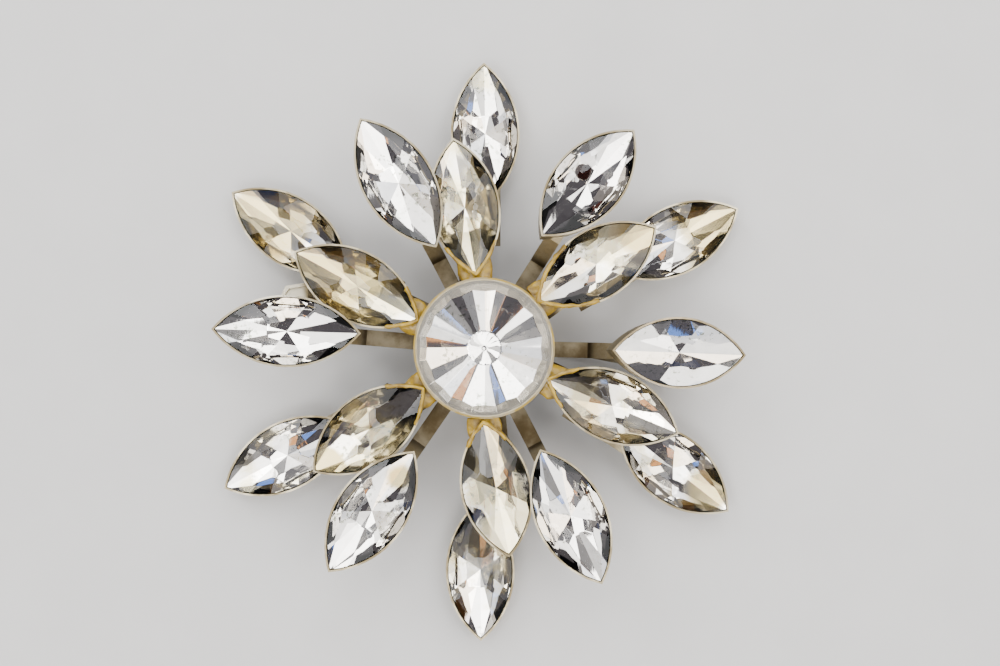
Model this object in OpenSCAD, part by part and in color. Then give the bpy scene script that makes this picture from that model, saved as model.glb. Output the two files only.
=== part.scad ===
// Starburst brooch: one round stone and eighteen navette stones in soldered metal cups,
// carried on flat arms, with a pin stem across the back. Millimetres, +Z up.
// It lies face up on the plane z = 0, with the middle of its outline at x = 0, y = 0.
// Twelve rays alternate. A long ray carries an inner cup, and an outer cup below its end.
// A short ray carries one cup, here called a between cup, at the end of a bare arm.

/* [Navette stones] */
// Length of a navette stone, tip to tip
navette_l = 15; // [14.8:0.1:15.2]
// Width of a navette stone
navette_w = 7; // [6.8:0.1:7.2]
// Height of the crown, from the girdle to the table
navette_crown_h = 1.2; // [1:0.05:1.3]
// Depth of the pavilion, from the girdle to the culet
navette_pavilion_h = 1.9; // [1.6:0.05:1.95]
// Length of the table
navette_table_l = 8.2; // [7.6:0.2:8.8]
// Width of the table
navette_table_w = 2.6; // [2.2:0.1:3]

/* [Centre stone] */
// Diameter of the round centre stone
round_d = 14.3; // [14.1:0.1:14.4]
// Height of its crown
round_crown_h = 2.5; // [2.2:0.1:2.8]
// Depth of its pavilion
round_pavilion_h = 2.7; // [2.4:0.1:2.8]
// Diameter of its small flat table
round_table_d = 0.9; // [0.7:0.1:1.2]
// Diameter at which its wedge facets end
round_shoulder_d = 11.9; // [11.6:0.1:12.2]
// Number of wedge facets round it
round_facets = 16; // [12:2:20]

/* [Cups] */
// Thickness of a cup's wall
wall_t = 0.2; // [0.18:0.01:0.22]
// Gap between a stone and its cup
stone_gap = 0.1; // [0.08:0.01:0.1]
// Thickness of a stone's straight girdle
girdle_h = 0.3; // [0.2:0.05:0.35]
// Height of a navette cup
cup_h = 2.7; // [2.65:0.05:2.75]
// How far a navette cup's wall leans in at its foot
cup_taper = 0.35; // [0.25:0.05:0.4]
// Height of the centre cup
round_cup_h = 3.7; // [3.6:0.1:3.9]
// Thickness of a cup's floor
floor_t = 0.3; // [0.25:0.05:0.3]

/* [Arms] */
// Width of the wide arms of the long rays
wide_arm_w = 3.4; // [3:0.1:3.6]
// Width of the narrow arms of the short rays
narrow_arm_w = 1.7; // [1.5:0.1:2]
// Height of the strip that the arms are bent from
arm_t = 0.65; // [0.6:0.05:0.65]
// Diameter of the plain disc under the centre cup
disc_d = 11; // [10:0.5:12]

/* [Pin] */
// Diameter of the pin stem
stem_d = 0.9; // [0.8:0.1:1]
// Length of the pin stem, from its hinge to its point
stem_l = 42.5; // [42:0.5:43]
// Length of the sharpened end
point_l = 6; // [4:0.5:8]
// Height of the stem's axis above the resting plane
stem_z = 1.5; // [1.45:0.05:1.6]
// Diameter of the knuckle at the hinged end
knuckle_d = 1.9; // [1.7:0.1:2]

/* [Hidden] */
$fn = 96;
RAYS = [0 : 5];

// Place of the centre stone's axis, measured from the middle of the whole outline
axis_x = 0.35;
axis_y = 0.5;
// Height of the centre cup's rim above the resting plane
round_rim = 10.6;

// One row for each cup, counted anticlockwise from the right-hand side. Its columns:
DIST = 0; // distance of the middle of the cup's rim from the centre stone's axis
BEARING = 1; // bearing of that middle, from the centre stone's axis
TURN = 2; // turn of the cup's long axis off that bearing
DROOP = 3; // droop of its outer end, in degrees
RIM = 4; // height of the middle of its rim
inner_cups = [
    [15.0,  36.6, -4.5, 13,  8.9],
    [15.3,  98.0,  1.6, 14,  8.3],
    [15.2, 154.2, -3.0,  9,  8.5],
    [15.2, 215.3,  1.6, 13,  8.5],
    [15.2, 274.8,  5.9, 14,  8.4],
    [15.1, 335.6,  1.7, 11,  9.1]
];
between_cups = [
    [20.8, 358.6, -1.0, 20,  9.8],
    [20.6,  57.8, -8.5, 14, 10.9],
    [19.5, 117.4,  3.2,  2, 11.7],
    [20.9, 175.1,  3.2,  1, 10.9],
    [20.9, 235.4, -0.9,  3, 10.9],
    [20.0, 297.3, -2.6,  3, 10.7]
];
// The outer cups rest on the plane z = 0 by their outer ends, so their droop gives their rim
outer_places = [
    [24.2,  29.3, -2.3, 5],
    [23.7,  89.9,  1.1, 4],
    [25.1, 149.1, -2.5, 5],
    [25.0, 208.7, -1.2, 4],
    [24.7, 268.8,  1.8, 4],
    [24.8, 327.3, -5.3, 7]
];

// A navette's outline is two equal arcs, and a cup's is the same arcs with a larger radius
arc_r = arc_radius(navette_l, navette_w);
arc_off = arc_r - navette_w / 2;
pocket_arc_r = arc_r + stone_gap;
cup_arc_r = pocket_arc_r + wall_t;
foot_arc_r = cup_arc_r - cup_taper;
foot_half_l = sqrt(foot_arc_r * foot_arc_r - arc_off * arc_off);
outer_cups = [for (p = outer_places)
    concat(p, foot_half_l * sin(p[DROOP]) + cup_h * cos(p[DROOP]))];

// How far a stone's girdle lies below its cup's rim
seat = 0.05;
// Depth to which solder joins an arm to a cup's foot, and to which flat pieces are welded
solder = 0.15;
weld = 0.05;
// How far a cutter reaches past the face that it opens
over = 0.1;
// How far the centre cup's wall leans in at its foot, and its radius at the rim
round_taper = 0.5;
round_cup_r = round_d / 2 + stone_gap + wall_t;

// Upper side of the flat part of the arms, and the distance where they start inside the disc
arm_top = round_rim - round_cup_h + weld;
arm_start = 4.5;
// Distance at which the flat part of an inner arm ends, and the part of the cup's foot that it joins
inner_flat_end = 7.4;
inner_joint = [-5.2, 1];
// Distances where an outer arm starts, bends down and ends its slope, and where it joins the foot
outer_start = 11;
outer_slope = [12.6, 15.3];
outer_joint = [-7, -2.4];
// Distance that a narrow arm covers for each millimetre that it climbs, and where it joins the foot
narrow_ramp = 0.9;
narrow_joint = [-6.7, -3.2];

// The hinge's middle and the stem's direction, seen from above, from the centre stone's axis
hinge_x = 19.2;
hinge_y = -2.2;
stem_turn = -11;
// The knuckle lies between two cheeks, and a rivet with a head at each end goes through all three
knuckle_w = 1.2;
cheek_t = 0.5;
cheek_w = 2.4;
rivet_d = 0.9;
rivet_head_d = 1.5;
rivet_head_h = 0.25;
pin_gap = 0.06;
point_d = 0.25;
cheek_in = knuckle_w / 2 + pin_gap;
cheek_out = cheek_in + cheek_t;

// The catch, seen from above: its left and right ends, and its outer edge at each of them
catch_left = -22.2;
catch_left_y = 5.9;
catch_right = -19.4;
catch_corner = [-21.8, 6.75];
catch_end = [catch_right, 7.1];
catch_wall = 0.35;
catch_inner_y = 4;
lip_inner_y = 4.9;
// Heights of the hook's lip, and of the tray's floor and rim
lip_z = 0.45;
tray_z = 4;
tray_rim_z = 4.7;
// The post that joins the tray to the foot of the left-hand between cup
post_size = [2.2, 0.6];
post_inset = 0.3;

// Outlines

function arc_radius(l, w) = (l * l + w * w) / (4 * w);

// Points round a navette outline, n to each side, with the tips among them where shift is 0
function navette(l, w, n, shift) = let (r = arc_radius(l, w), off = r - w / 2, span = asin(l / 2 / r))
    [for (side = [1, -1], k = [0 : n - 1])
        let (t = span * (2 * (k + shift) / n - 1))
            side * [r * sin(t), r * cos(t) - off]];

// Points round a circle, the first at the bearing start
function ring(d, n, start) = [for (k = [0 : n - 1])
    let (t = start + 360 * k / n) d / 2 * [cos(t), sin(t)]];

// Places

function heading(cup) = cup[BEARING] + cup[TURN];
function middle(cup) = [
    axis_x + cup[DIST] * cos(cup[BEARING]),
    axis_y + cup[DIST] * sin(cup[BEARING]),
    cup[RIM]
];

// Distance and height of a point x along a cup and z above its rim, in the cup's upright plane
function along(cup, x, z) = [
    cup[DIST] + x * cos(cup[DROOP]) + z * sin(cup[DROOP]),
    cup[RIM] - x * sin(cup[DROOP]) + z * cos(cup[DROOP])
];
function landing(cup, x) = along(cup, x, solder - cup_h);

// Distance and height where an arm at this bearing lies against the foot of another ray's cup
function under(cup, bearing, r) = let (
        side = heading(cup),
        reach = r * cos(bearing - side) - cup[DIST] * cos(cup[TURN]),
        x = (reach + cup_h * sin(cup[DROOP])) / cos(cup[DROOP]))
    [r, landing(cup, x)[1]];

module at_axis(bearing) {
    translate([axis_x, axis_y, 0])
        rotate([0, 0, bearing])
            children();
}

module at_cup(cup) {
    translate(middle(cup))
        rotate([0, cup[DROOP], heading(cup)])
            children();
}

module at_hinge() {
    translate([axis_x + hinge_x, axis_y + hinge_y, stem_z])
        rotate([0, 0, stem_turn])
            children();
}

// Stones: each is the hull of thin slices, so that flat facets run from slice to slice

slice_t = 0.01;
module slice(outline, z) {
    translate([0, 0, z])
        linear_extrude(slice_t)
            polygon(outline);
}

module navette_stone() {
    crown_l = 0.8 * navette_l;
    crown_w = 0.72 * navette_w;
    crown_z = 0.62 * navette_crown_h - seat;
    girdle_z = -seat - girdle_h;
    pavilion_l = 0.64 * navette_l;
    pavilion_w = 0.56 * navette_w;
    pavilion_z = girdle_z - 0.55 * navette_pavilion_h;
    culet_l = 2;
    culet_w = 0.3;
    hull() {
        slice(navette(navette_table_l, navette_table_w, 4, 0), navette_crown_h - seat);
        slice(navette(crown_l, crown_w, 4, 0.5), crown_z);
        slice(navette(navette_l, navette_w, 8, 0), -seat);
        slice(navette(navette_l, navette_w, 8, 0), girdle_z);
        slice(navette(pavilion_l, pavilion_w, 4, 0.5), pavilion_z);
        slice(navette(culet_l, culet_w, 2, 0), girdle_z - navette_pavilion_h);
    }
}

module round_stone() {
    half_facet = 180 / round_facets;
    shoulder_z = 0.31 * round_crown_h - seat;
    girdle_z = -seat - girdle_h;
    pavilion_d = 0.5 * round_d;
    pavilion_z = girdle_z - 0.55 * round_pavilion_h;
    culet_d = 0.4;
    hull() {
        slice(ring(round_table_d, round_facets, 0), round_crown_h - seat);
        slice(ring(round_shoulder_d, round_facets, 0), shoulder_z);
        slice(ring(round_d, 2 * round_facets, 0), -seat);
        slice(ring(round_d, 2 * round_facets, 0), girdle_z);
        slice(ring(pavilion_d, round_facets, half_facet), pavilion_z);
        slice(ring(culet_d, round_facets, half_facet), girdle_z - round_pavilion_h);
    }
}

// Cups

// A block with a navette outline whose arcs have the radii r1 at its foot and r2 at its top
module navette_block(h, r1, r2) {
    intersection() {
        translate([0, arc_off, 0])
            cylinder(h = h, r1 = r1, r2 = r2);
        translate([0, -arc_off, 0])
            cylinder(h = h, r1 = r1, r2 = r2);
    }
}

module navette_cup() {
    lean = cup_taper / cup_h;
    pocket_h = cup_h - floor_t;
    difference() {
        translate([0, 0, -cup_h])
            navette_block(cup_h, foot_arc_r, cup_arc_r);
        translate([0, 0, -pocket_h])
            navette_block(pocket_h + over, pocket_arc_r - lean * pocket_h, pocket_arc_r + lean * over);
    }
}

module round_cup() {
    lean = round_taper / round_cup_h;
    pocket_h = round_cup_h - floor_t;
    pocket_r = round_cup_r - wall_t;
    difference() {
        translate([0, 0, -round_cup_h])
            cylinder(h = round_cup_h, r1 = round_cup_r - round_taper, r2 = round_cup_r);
        translate([0, 0, -pocket_h])
            cylinder(h = pocket_h + over, r1 = pocket_r - lean * pocket_h, r2 = pocket_r + lean * over);
    }
}

// Arms

// A strip of width w whose upper side follows a path of distances and heights
module strip(path, w) {
    lower = [for (k = [len(path) - 1 : -1 : 0]) path[k] - [0, arm_t]];
    rotate([90, 0, 0])
        linear_extrude(w, center = true)
            polygon(concat(path, lower));
}

// From the disc to the underside of an inner cup
module inner_arm(cup) {
    path = [
        [arm_start, arm_top],
        [inner_flat_end, arm_top],
        landing(cup, inner_joint[0]),
        landing(cup, inner_joint[1])
    ];
    at_axis(cup[BEARING])
        strip(path, wide_arm_w);
}

// From under the inner cup down to the foot of the outer cup
module outer_arm(cup, inner) {
    path = [
        under(inner, cup[BEARING], outer_start),
        under(inner, cup[BEARING], outer_slope[0]),
        [outer_slope[1], landing(cup, outer_joint[0])[1]],
        landing(cup, outer_joint[1])
    ];
    at_axis(cup[BEARING])
        strip(path, wide_arm_w);
}

// From the disc up to the foot of a between cup
module between_arm(cup) {
    top = landing(cup, narrow_joint[0]);
    flat_z = arm_top - weld;
    bend = top[0] - narrow_ramp * (top[1] - flat_z);
    path = [[arm_start, flat_z], [bend, flat_z], top, landing(cup, narrow_joint[1])];
    at_axis(cup[BEARING])
        strip(path, narrow_arm_w);
}

module disc() {
    translate([axis_x, axis_y, arm_top - arm_t - 2 * weld])
        cylinder(h = arm_t + 3 * weld, d = disc_d);
}

// Pin, hinge and catch

// Two cheeks that hang from the foot of the right-hand between cup, bored for the rivet
module hinge_cheeks() {
    below = 1;
    tall = 12;
    bore_l = 6;
    difference() {
        intersection() {
            at_hinge()
                for (side = [-1, 1])
                    translate([0, side * (cheek_in + cheek_t / 2), tall / 2 - below])
                        cube([cheek_w, cheek_t, tall], center = true);
            at_cup(between_cups[0])
                translate([0, 0, solder - cup_h - tall])
                    cube([3 * tall, 3 * tall, 2 * tall], center = true);
        }
        at_hinge()
            rotate([90, 0, 0])
                cylinder(h = bore_l, d = rivet_d + 2 * pin_gap, center = true);
    }
}

// A shallow tray with an upturned rim, over a hook that the pin's point lies in
module catch() {
    step = [0, -catch_wall];
    outer = [catch_corner, catch_end];
    outer_wall = concat(outer, [catch_end + step, catch_corner + step]);
    left_foot = [catch_left, catch_inner_y];
    left_top = [catch_left, catch_left_y];
    tray = concat(outer, [[catch_right, catch_inner_y], left_foot, left_top]);
    inset = [catch_wall, 0];
    left_wall = [catch_corner, catch_corner + step + inset, left_top + inset, left_foot + inset, left_foot, left_top];
    lip = concat(outer, [[catch_right, lip_inner_y], [catch_corner[0], lip_inner_y]]);
    post_z = tray_z + over;
    post_top = between_cups[3][RIM] - cup_h + solder;
    translate([axis_x, axis_y, 0]) {
        translate([0, 0, tray_z])
            linear_extrude(catch_wall)
                polygon(tray);
        translate([0, 0, tray_z])
            linear_extrude(tray_rim_z - tray_z)
                polygon(left_wall);
        translate([0, 0, lip_z])
            linear_extrude(tray_rim_z - lip_z)
                polygon(outer_wall);
        translate([0, 0, lip_z])
            linear_extrude(catch_wall)
                polygon(lip);
        translate([catch_left + post_inset, catch_inner_y + over, post_z])
            cube([post_size[0], post_size[1], post_top - post_z]);
    }
}

module pin_stem() {
    straight = stem_l - point_l;
    rivet_l = 2 * (cheek_out + pin_gap);
    color([0.75, 0.72, 0.64])
        at_hinge() {
            rotate([0, -90, 0]) {
                cylinder(h = straight, d = stem_d);
                translate([0, 0, straight])
                    cylinder(h = point_l, d1 = stem_d, d2 = point_d);
            }
            rotate([90, 0, 0]) {
                cylinder(h = knuckle_w, d = knuckle_d, center = true);
                cylinder(h = rivet_l, d = rivet_d, center = true);
                for (side = [-1, 1])
                    translate([0, 0, side * (rivet_l + rivet_head_h) / 2])
                        cylinder(h = rivet_head_h, d = rivet_head_d, center = true);
            }
        }
}

// All the soldered metal is one piece
module mounting() {
    color([0.83, 0.77, 0.63]) {
        translate([axis_x, axis_y, round_rim])
            round_cup();
        for (cup = concat(inner_cups, outer_cups, between_cups))
            at_cup(cup)
                navette_cup();
        disc();
        for (cup = inner_cups)
            inner_arm(cup);
        for (k = RAYS)
            outer_arm(outer_cups[k], inner_cups[k]);
        for (cup = between_cups)
            between_arm(cup);
        hinge_cheeks();
        catch();
    }
}

module centre_stone() {
    color([0.9, 0.88, 0.8])
        translate([axis_x, axis_y, round_rim])
            round_stone();
}

module inner_stone(k) {
    color([0.86, 0.78, 0.55])
        at_cup(inner_cups[k])
            navette_stone();
}

module outer_stone(k) {
    color([0.88, 0.86, 0.74])
        at_cup(outer_cups[k])
            navette_stone();
}

module between_stone(k) {
    color([0.9, 0.9, 0.92])
        at_cup(between_cups[k])
            navette_stone();
}

mounting();
pin_stem();
centre_stone();
for (k = RAYS) {
    inner_stone(k);
    outer_stone(k);
    between_stone(k);
}
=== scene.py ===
# %% [markdown]
# A starburst brooch, in cells. The brooch is a spider of flat metal arms with nineteen small cups
# soldered to it. Eighteen hold pointed oval stones, which a stone cutter calls navettes, and the
# middle one holds a round stone. The metal is already modelled at its real size, so it is loaded
# as a fixed frame, and this lesson makes what the eye enjoys: cut glass, silver foil and old glue.
# Blender counts in metres here, so each length is written in millimetres, times MM.

# %% Load the fixed frame
import math
import bpy
from mathutils import Matrix, Vector


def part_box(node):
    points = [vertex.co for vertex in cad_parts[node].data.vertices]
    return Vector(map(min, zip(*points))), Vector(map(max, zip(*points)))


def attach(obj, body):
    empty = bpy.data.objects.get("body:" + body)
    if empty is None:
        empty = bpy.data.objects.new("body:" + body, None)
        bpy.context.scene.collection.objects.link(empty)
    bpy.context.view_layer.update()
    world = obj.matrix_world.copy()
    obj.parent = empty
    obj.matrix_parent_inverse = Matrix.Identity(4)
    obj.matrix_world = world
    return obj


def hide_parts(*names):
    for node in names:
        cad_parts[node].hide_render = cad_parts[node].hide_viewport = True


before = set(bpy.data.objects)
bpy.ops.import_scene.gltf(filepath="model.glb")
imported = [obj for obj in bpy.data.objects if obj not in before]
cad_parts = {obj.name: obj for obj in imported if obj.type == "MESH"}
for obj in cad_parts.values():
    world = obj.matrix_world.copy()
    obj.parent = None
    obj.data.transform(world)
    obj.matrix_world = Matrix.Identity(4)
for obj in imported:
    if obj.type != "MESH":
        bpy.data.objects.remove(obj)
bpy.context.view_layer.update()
MM = 0.001
print("frame of", len(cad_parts), "nodes")

# %% [markdown]
# The photo was taken from straight above and close up, so the outer cups lean away a little. A
# camera very far off would lose that. One that stands 160 mm over the table, a little up and to
# the right of the round stone's axis, gives the photo's view of every cup. It comes first,
# because all that follows is judged through it.

# %% Find the round stone and set the camera
stone_low, stone_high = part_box("centre_stone")
CENTRE = Vector(((stone_low[0] + stone_high[0]) / 2, (stone_low[1] + stone_high[1]) / 2, 0.0))
CAMERA_PLACE = CENTRE + Vector((1.674, 1.590, 160.0)) * MM
FILM_WIDTH, FOCAL_LENGTH = 36.0, 51.08

bpy.ops.object.select_all(action="DESELECT")
bpy.ops.object.camera_add(location=CAMERA_PLACE, rotation=(0.0, 0.0, 0.0))
camera = bpy.context.object
camera.name = "camera"
camera.data.lens = FOCAL_LENGTH
camera.data.sensor_width = FILM_WIDTH
camera.data.sensor_fit = "HORIZONTAL"
camera.data.clip_start = 5 * MM
bpy.context.scene.camera = camera
view_width = FILM_WIDTH / FOCAL_LENGTH * CAMERA_PLACE.z
print("the round stone's axis is at", [round(c / MM, 2) for c in CENTRE[:2]], "mm")
print("the camera sees", round(view_width / MM), "mm of the table from side to side")

# %% [markdown]
# Each stone of the frame is a plain block of glass that lies tilted in its cup. The cut stones
# could be placed by a table of positions and angles. Instead each finds its own seat from the
# block that it stands for, so that the two can never drift apart. The block's two tips give the
# long axis, and its widest points give the axis across.

# %% Find the seat of each navette
# Points that reach nearly as far as the farthest one count with it
SAME_REACH = 0.02 * MM

def mean(points):
    """The middle of some points."""
    return sum(points, Vector()) / len(points)

def far_points(points, direction):
    """The middle of the points that lie farthest in a direction."""
    farthest = max(p.dot(direction) for p in points)
    return mean([p for p in points if p.dot(direction) > farthest - SAME_REACH])

def tip_to_tip(points):
    """The middle between the two tips, and the direction from one tip to the other."""
    middle = mean(points)
    along = (max(points, key=lambda p: (p - middle).length) - middle).normalized()
    for _ in range(3):
        out, back = far_points(points, along), far_points(points, -along)
        along = (out - back).normalized()
    return (out + back) / 2, along

def seat_of(node_name):
    """Where a stone lying along X, with its girdle at z = 0, has to go. Its -X tip faces the middle."""
    points = [v.co.copy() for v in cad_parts[node_name].data.vertices]
    centre, along = tip_to_tip(points)
    if along.dot(centre - CENTRE) < 0:
        along = -along
    flat = [p - centre - along * (p - centre).dot(along) for p in points]
    across = max(flat, key=lambda p: p.length).normalized()
    for _ in range(3):
        across = (far_points(flat, across) - far_points(flat, -across)).normalized()
    if along.cross(across).z < 0:
        across = -across
    turn = Matrix((along, across, along.cross(across))).transposed().to_4x4()
    return Matrix.Translation(centre) @ turn

ROWS = ("inner", "outer", "between")
seats = {}
for row in ROWS:
    for k in range(1, 7):
        seats["%s_stone_%d" % (row, k)] = seat_of("%s_stone_%d" % (row, k))
for node_name in ("inner_stone_1", "between_stone_1"):
    tilt = math.degrees(math.acos(seats[node_name].col[2].z))
    up = seats[node_name].translation.z / MM
    print(node_name, "lies", round(up, 2), "mm up and is tilted", round(tilt, 1), "degrees")

# %% [markdown]
# By hand, each piece would be clicked, opened in edit mode, worked on and closed again. These
# helpers are those clicks. One of them writes a piece's place into its mesh, because the patterns
# of the materials count from the object's origin, and all pieces should share one origin.

# %% The clicks that every piece needs
# Points of a mesh that lie this close are made one when it is closed
JOIN_WITHIN = 2e-6

def pick(piece):
    """Select this piece alone and make it the active one."""
    bpy.ops.object.select_all(action="DESELECT")
    piece.select_set(True)
    bpy.context.view_layer.objects.active = piece

def open_mesh(piece):
    """Edit mode, with the whole mesh selected."""
    pick(piece)
    bpy.ops.object.mode_set(mode="EDIT")
    bpy.ops.mesh.select_all(action="SELECT")

def close_mesh():
    """Join points that coincide, turn all faces outwards and leave edit mode."""
    bpy.ops.mesh.select_all(action="SELECT")
    bpy.ops.mesh.remove_doubles(threshold=JOIN_WITHIN)
    bpy.ops.mesh.normals_make_consistent(inside=False)
    bpy.ops.object.mode_set(mode="OBJECT")

def bake_place(piece):
    """Write the piece's place into its mesh, which leaves its object at the origin."""
    pick(piece)
    bpy.ops.object.transform_apply(location=True, rotation=True, scale=True)

def take_new(name):
    """Name the primitive that was just added, and bake its place."""
    piece = bpy.context.object
    piece.name = name
    bake_place(piece)
    return piece

print("points within", JOIN_WITHIN / MM, "mm of each other are joined")

# %% [markdown]
# A stone cutter grinds flat facets on a blank, one after another. Points moved by hand would
# hardly ever lie flat. Bisect does what the wheel does: each call cuts the mesh along a plane,
# throws one side away and closes the cut with a flat face. A facet is then three numbers: the
# bearing that it faces, its slope, and the place where it meets the girdle, which is the thin
# band round the stone's widest part.

# %% The cutter's wheel
# Half the girdle's height
GIRDLE = 0.06 * MM
# A point this close to a cutting plane lies on it
ON_PLANE = 1e-7

def at_bearing(bearing, radius, z):
    """The point at this bearing, this far from the upright axis and this high."""
    b = math.radians(bearing)
    return (radius * math.cos(b), radius * math.sin(b), z)

def facet_normal(bearing, slope):
    """The way that a facet faces. A slope of 0 is level, and a negative one faces down."""
    s = math.radians(slope)
    x, y, _ = at_bearing(bearing, math.sin(abs(s)), 0.0)
    return (x, y, math.copysign(math.cos(s), slope))

def grind(point, bearing, slope):
    """One flat facet through a point of the open mesh."""
    bpy.ops.mesh.select_all(action="SELECT")
    bpy.ops.mesh.bisect(plane_co=point, plane_no=facet_normal(bearing, slope), use_fill=True,
                        clear_outer=True, threshold=ON_PLANE)

def new_blank(name, sides, radius, crown, pavilion, back=0.0):
    """An upright glass cylinder for the wheel, with the middle of its girdle at z = 0."""
    bpy.ops.object.select_all(action="DESELECT")
    bpy.ops.mesh.primitive_cylinder_add(vertices=sides, radius=radius, depth=crown + pavilion + 2 * GIRDLE,
                                        location=(0, -back, (crown - pavilion) / 2))
    return take_new(name)

print("a facet at bearing 90 with a slope of 45 faces", [round(c, 2) for c in facet_normal(90, 45)])

# %% [markdown]
# No real edge is razor sharp. A hair's breadth of wear catches the light, so the crown's edges
# get a tiny bevel. Then each face learns what it is. The faces that look up are bare glass, and
# all from the girdle down are foil. On the round stone the steep facets next to the rim have gone
# dull, as the photo shows, so they are a third kind. The normal of a face tells these apart.

# %% Worn edges and kinds of face
GLASS, FOIL, DULL_RING = 0, 1, 2
# A face whose normal rises no more than this is the girdle's or the pavilion's
FOIL_BELOW = 0.02
# An edge that wears reaches above a height, and its lower end is at most this far below it
WEAR_DOWN = 0.2 * MM

def wear_edges(stone, above, width):
    """Bevel the edges that reach above a height and don't run down to the girdle."""
    mesh = stone.data
    for part in (mesh.vertices, mesh.polygons):
        for item in part:
            item.select = False
    for edge in mesh.edges:
        heights = [mesh.vertices[i].co.z for i in edge.vertices]
        edge.select = max(heights) > above and min(heights) > above - WEAR_DOWN
    bpy.ops.object.mode_set(mode="EDIT")
    bpy.ops.mesh.select_mode(type="EDGE")
    bpy.ops.mesh.bevel(offset=width, segments=1, affect="EDGES", clamp_overlap=True)
    bpy.ops.object.mode_set(mode="OBJECT")

def sort_faces(stone, ring_below=0.0):
    """Give each face its kind. Glass whose normal rises less than ring_below is the dull ring."""
    for face in stone.data.polygons:
        face.use_smooth = False
        if face.normal.z <= FOIL_BELOW:
            face.material_index = FOIL
        elif face.normal.z < ring_below:
            face.material_index = DULL_RING
        else:
            face.material_index = GLASS

print("kinds of face: glass", GLASS, "foil", FOIL, "dull ring", DULL_RING)

# %% [markdown]
# A navette seen from above is two arcs that cross at its tips. A scaled circle would give an
# oval with round ends, so half of a large cylinder, mirrored, is used: its arcs meet in points.
# Every facet has to know where this outline lies on its bearing, and low bearings all meet the
# outline at a tip.

# %% The navette's outline
HALF_L, HALF_W = 7.5 * MM, 3.5 * MM
ARC_R = (HALF_L ** 2 + HALF_W ** 2) / (2 * HALF_W)
ARC_OFF = ARC_R - HALF_W
TIP_BEARING = 90 - math.degrees(math.asin(HALF_L / ARC_R))

def girdle_point(bearing, z):
    """The point of the outline that faces this bearing."""
    quarter = bearing % 180
    b = math.radians(bearing)
    if min(quarter, 180 - quarter) < TIP_BEARING:
        return Vector((math.copysign(HALF_L, math.cos(b)), 0.0, z))
    return Vector((ARC_R * math.cos(b), ARC_R * math.sin(b) - math.copysign(ARC_OFF, math.sin(b)), z))

def reach(bearing):
    """How far the outline reaches out on a bearing."""
    b = math.radians(bearing)
    return girdle_point(bearing, 0).xy.dot(Vector((math.cos(b), math.sin(b))))

print("arcs of", round(ARC_R / MM, 2), "mm radius")
print("each tip is an angle of", round(180 - 2 * TIP_BEARING), "degrees")

# %% [markdown]
# The crown has a long table, eight main facets round it, small stars between them, and steeper
# facets that break the edge. The pavilion below runs down to one low point, with keel lines to
# both tips. It is cut shallow: a deep one would trap the light of a view from straight above, and
# look black. One stone is cut with care, and the other seventeen will be copies of it.

# %% Facets of the navette
CROWN, PAVILION = 0.9 * MM, 0.95 * MM
# Bearing, and how far from the middle the table's edge lies on it
TABLE_EDGES = [(90, 1.3 * MM), (60, 2.1 * MM), (0, 1.7 * MM)]
# Bearing and slope of the steeper facets that break the crown's edge
CROWN_BREAKS = [(77, 25), (49, 19)]
# Bearing, distance from the middle and slope of the small stars round the table
CROWN_STARS = [(75, 1.05 * MM, 7), (38, 1.9 * MM, 5)]
# Bearings of the facets that meet at the lowest point
KEELS = [90, 60, 42]
# Bearing and slope of the facets that break the pavilion's edge
PAVILION_BREAKS = [(79, 25), (56, 20)]

def four_ways(bearing):
    """A bearing and its mirror images in the stone's two axes, each once."""
    return sorted({round(b % 360, 3) for b in (bearing, -bearing, 180 - bearing, 180 + bearing)})

def slope_of(rise, run):
    """The slope in degrees of a face that rises this much over this run."""
    return math.degrees(math.atan2(rise, run))

def grind_from_girdle(bearing, slope):
    """A facet and its mirror images. A slope above 0 is the crown's, and one below the pavilion's."""
    for b in four_ways(bearing):
        grind(girdle_point(b, math.copysign(GIRDLE, slope)), b, slope)

print("main facets of the crown:", sum(len(four_ways(bearing)) for bearing, _ in TABLE_EDGES))

# %% [markdown]
# The blank for a navette is half of the large cylinder, mirrored, so that its two arcs meet in
# sharp tips. Then comes the wheel, in a cutter's order: the main facets of the crown, those that
# break its edge, the small stars, and the pavilion last. Since every facet is a whole plane, the
# order doesn't change the shape, but it is easy to follow.

# %% Cut one navette
# Points this close to the seam of two mirrored halves are joined
SEAM_WITHIN = 1e-6
# How high over the girdle wear begins, and how wide it is
WEAR_FROM, WEAR_WIDTH = 0.25 * MM, 0.035 * MM

def cut_away_half():
    """Cut the open mesh at y = 0 and keep the +Y half."""
    bpy.ops.mesh.bisect(plane_co=(0, 0, 0), plane_no=(0, 1, 0), clear_inner=True, threshold=ON_PLANE)

def mirror_half(piece):
    """The other half of a piece that was cut off at y = 0."""
    half = piece.modifiers.new("other_half", "MIRROR")
    half.use_axis = (False, True, False)
    half.merge_threshold = SEAM_WITHIN
    bpy.ops.object.modifier_apply(modifier=half.name)

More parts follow.
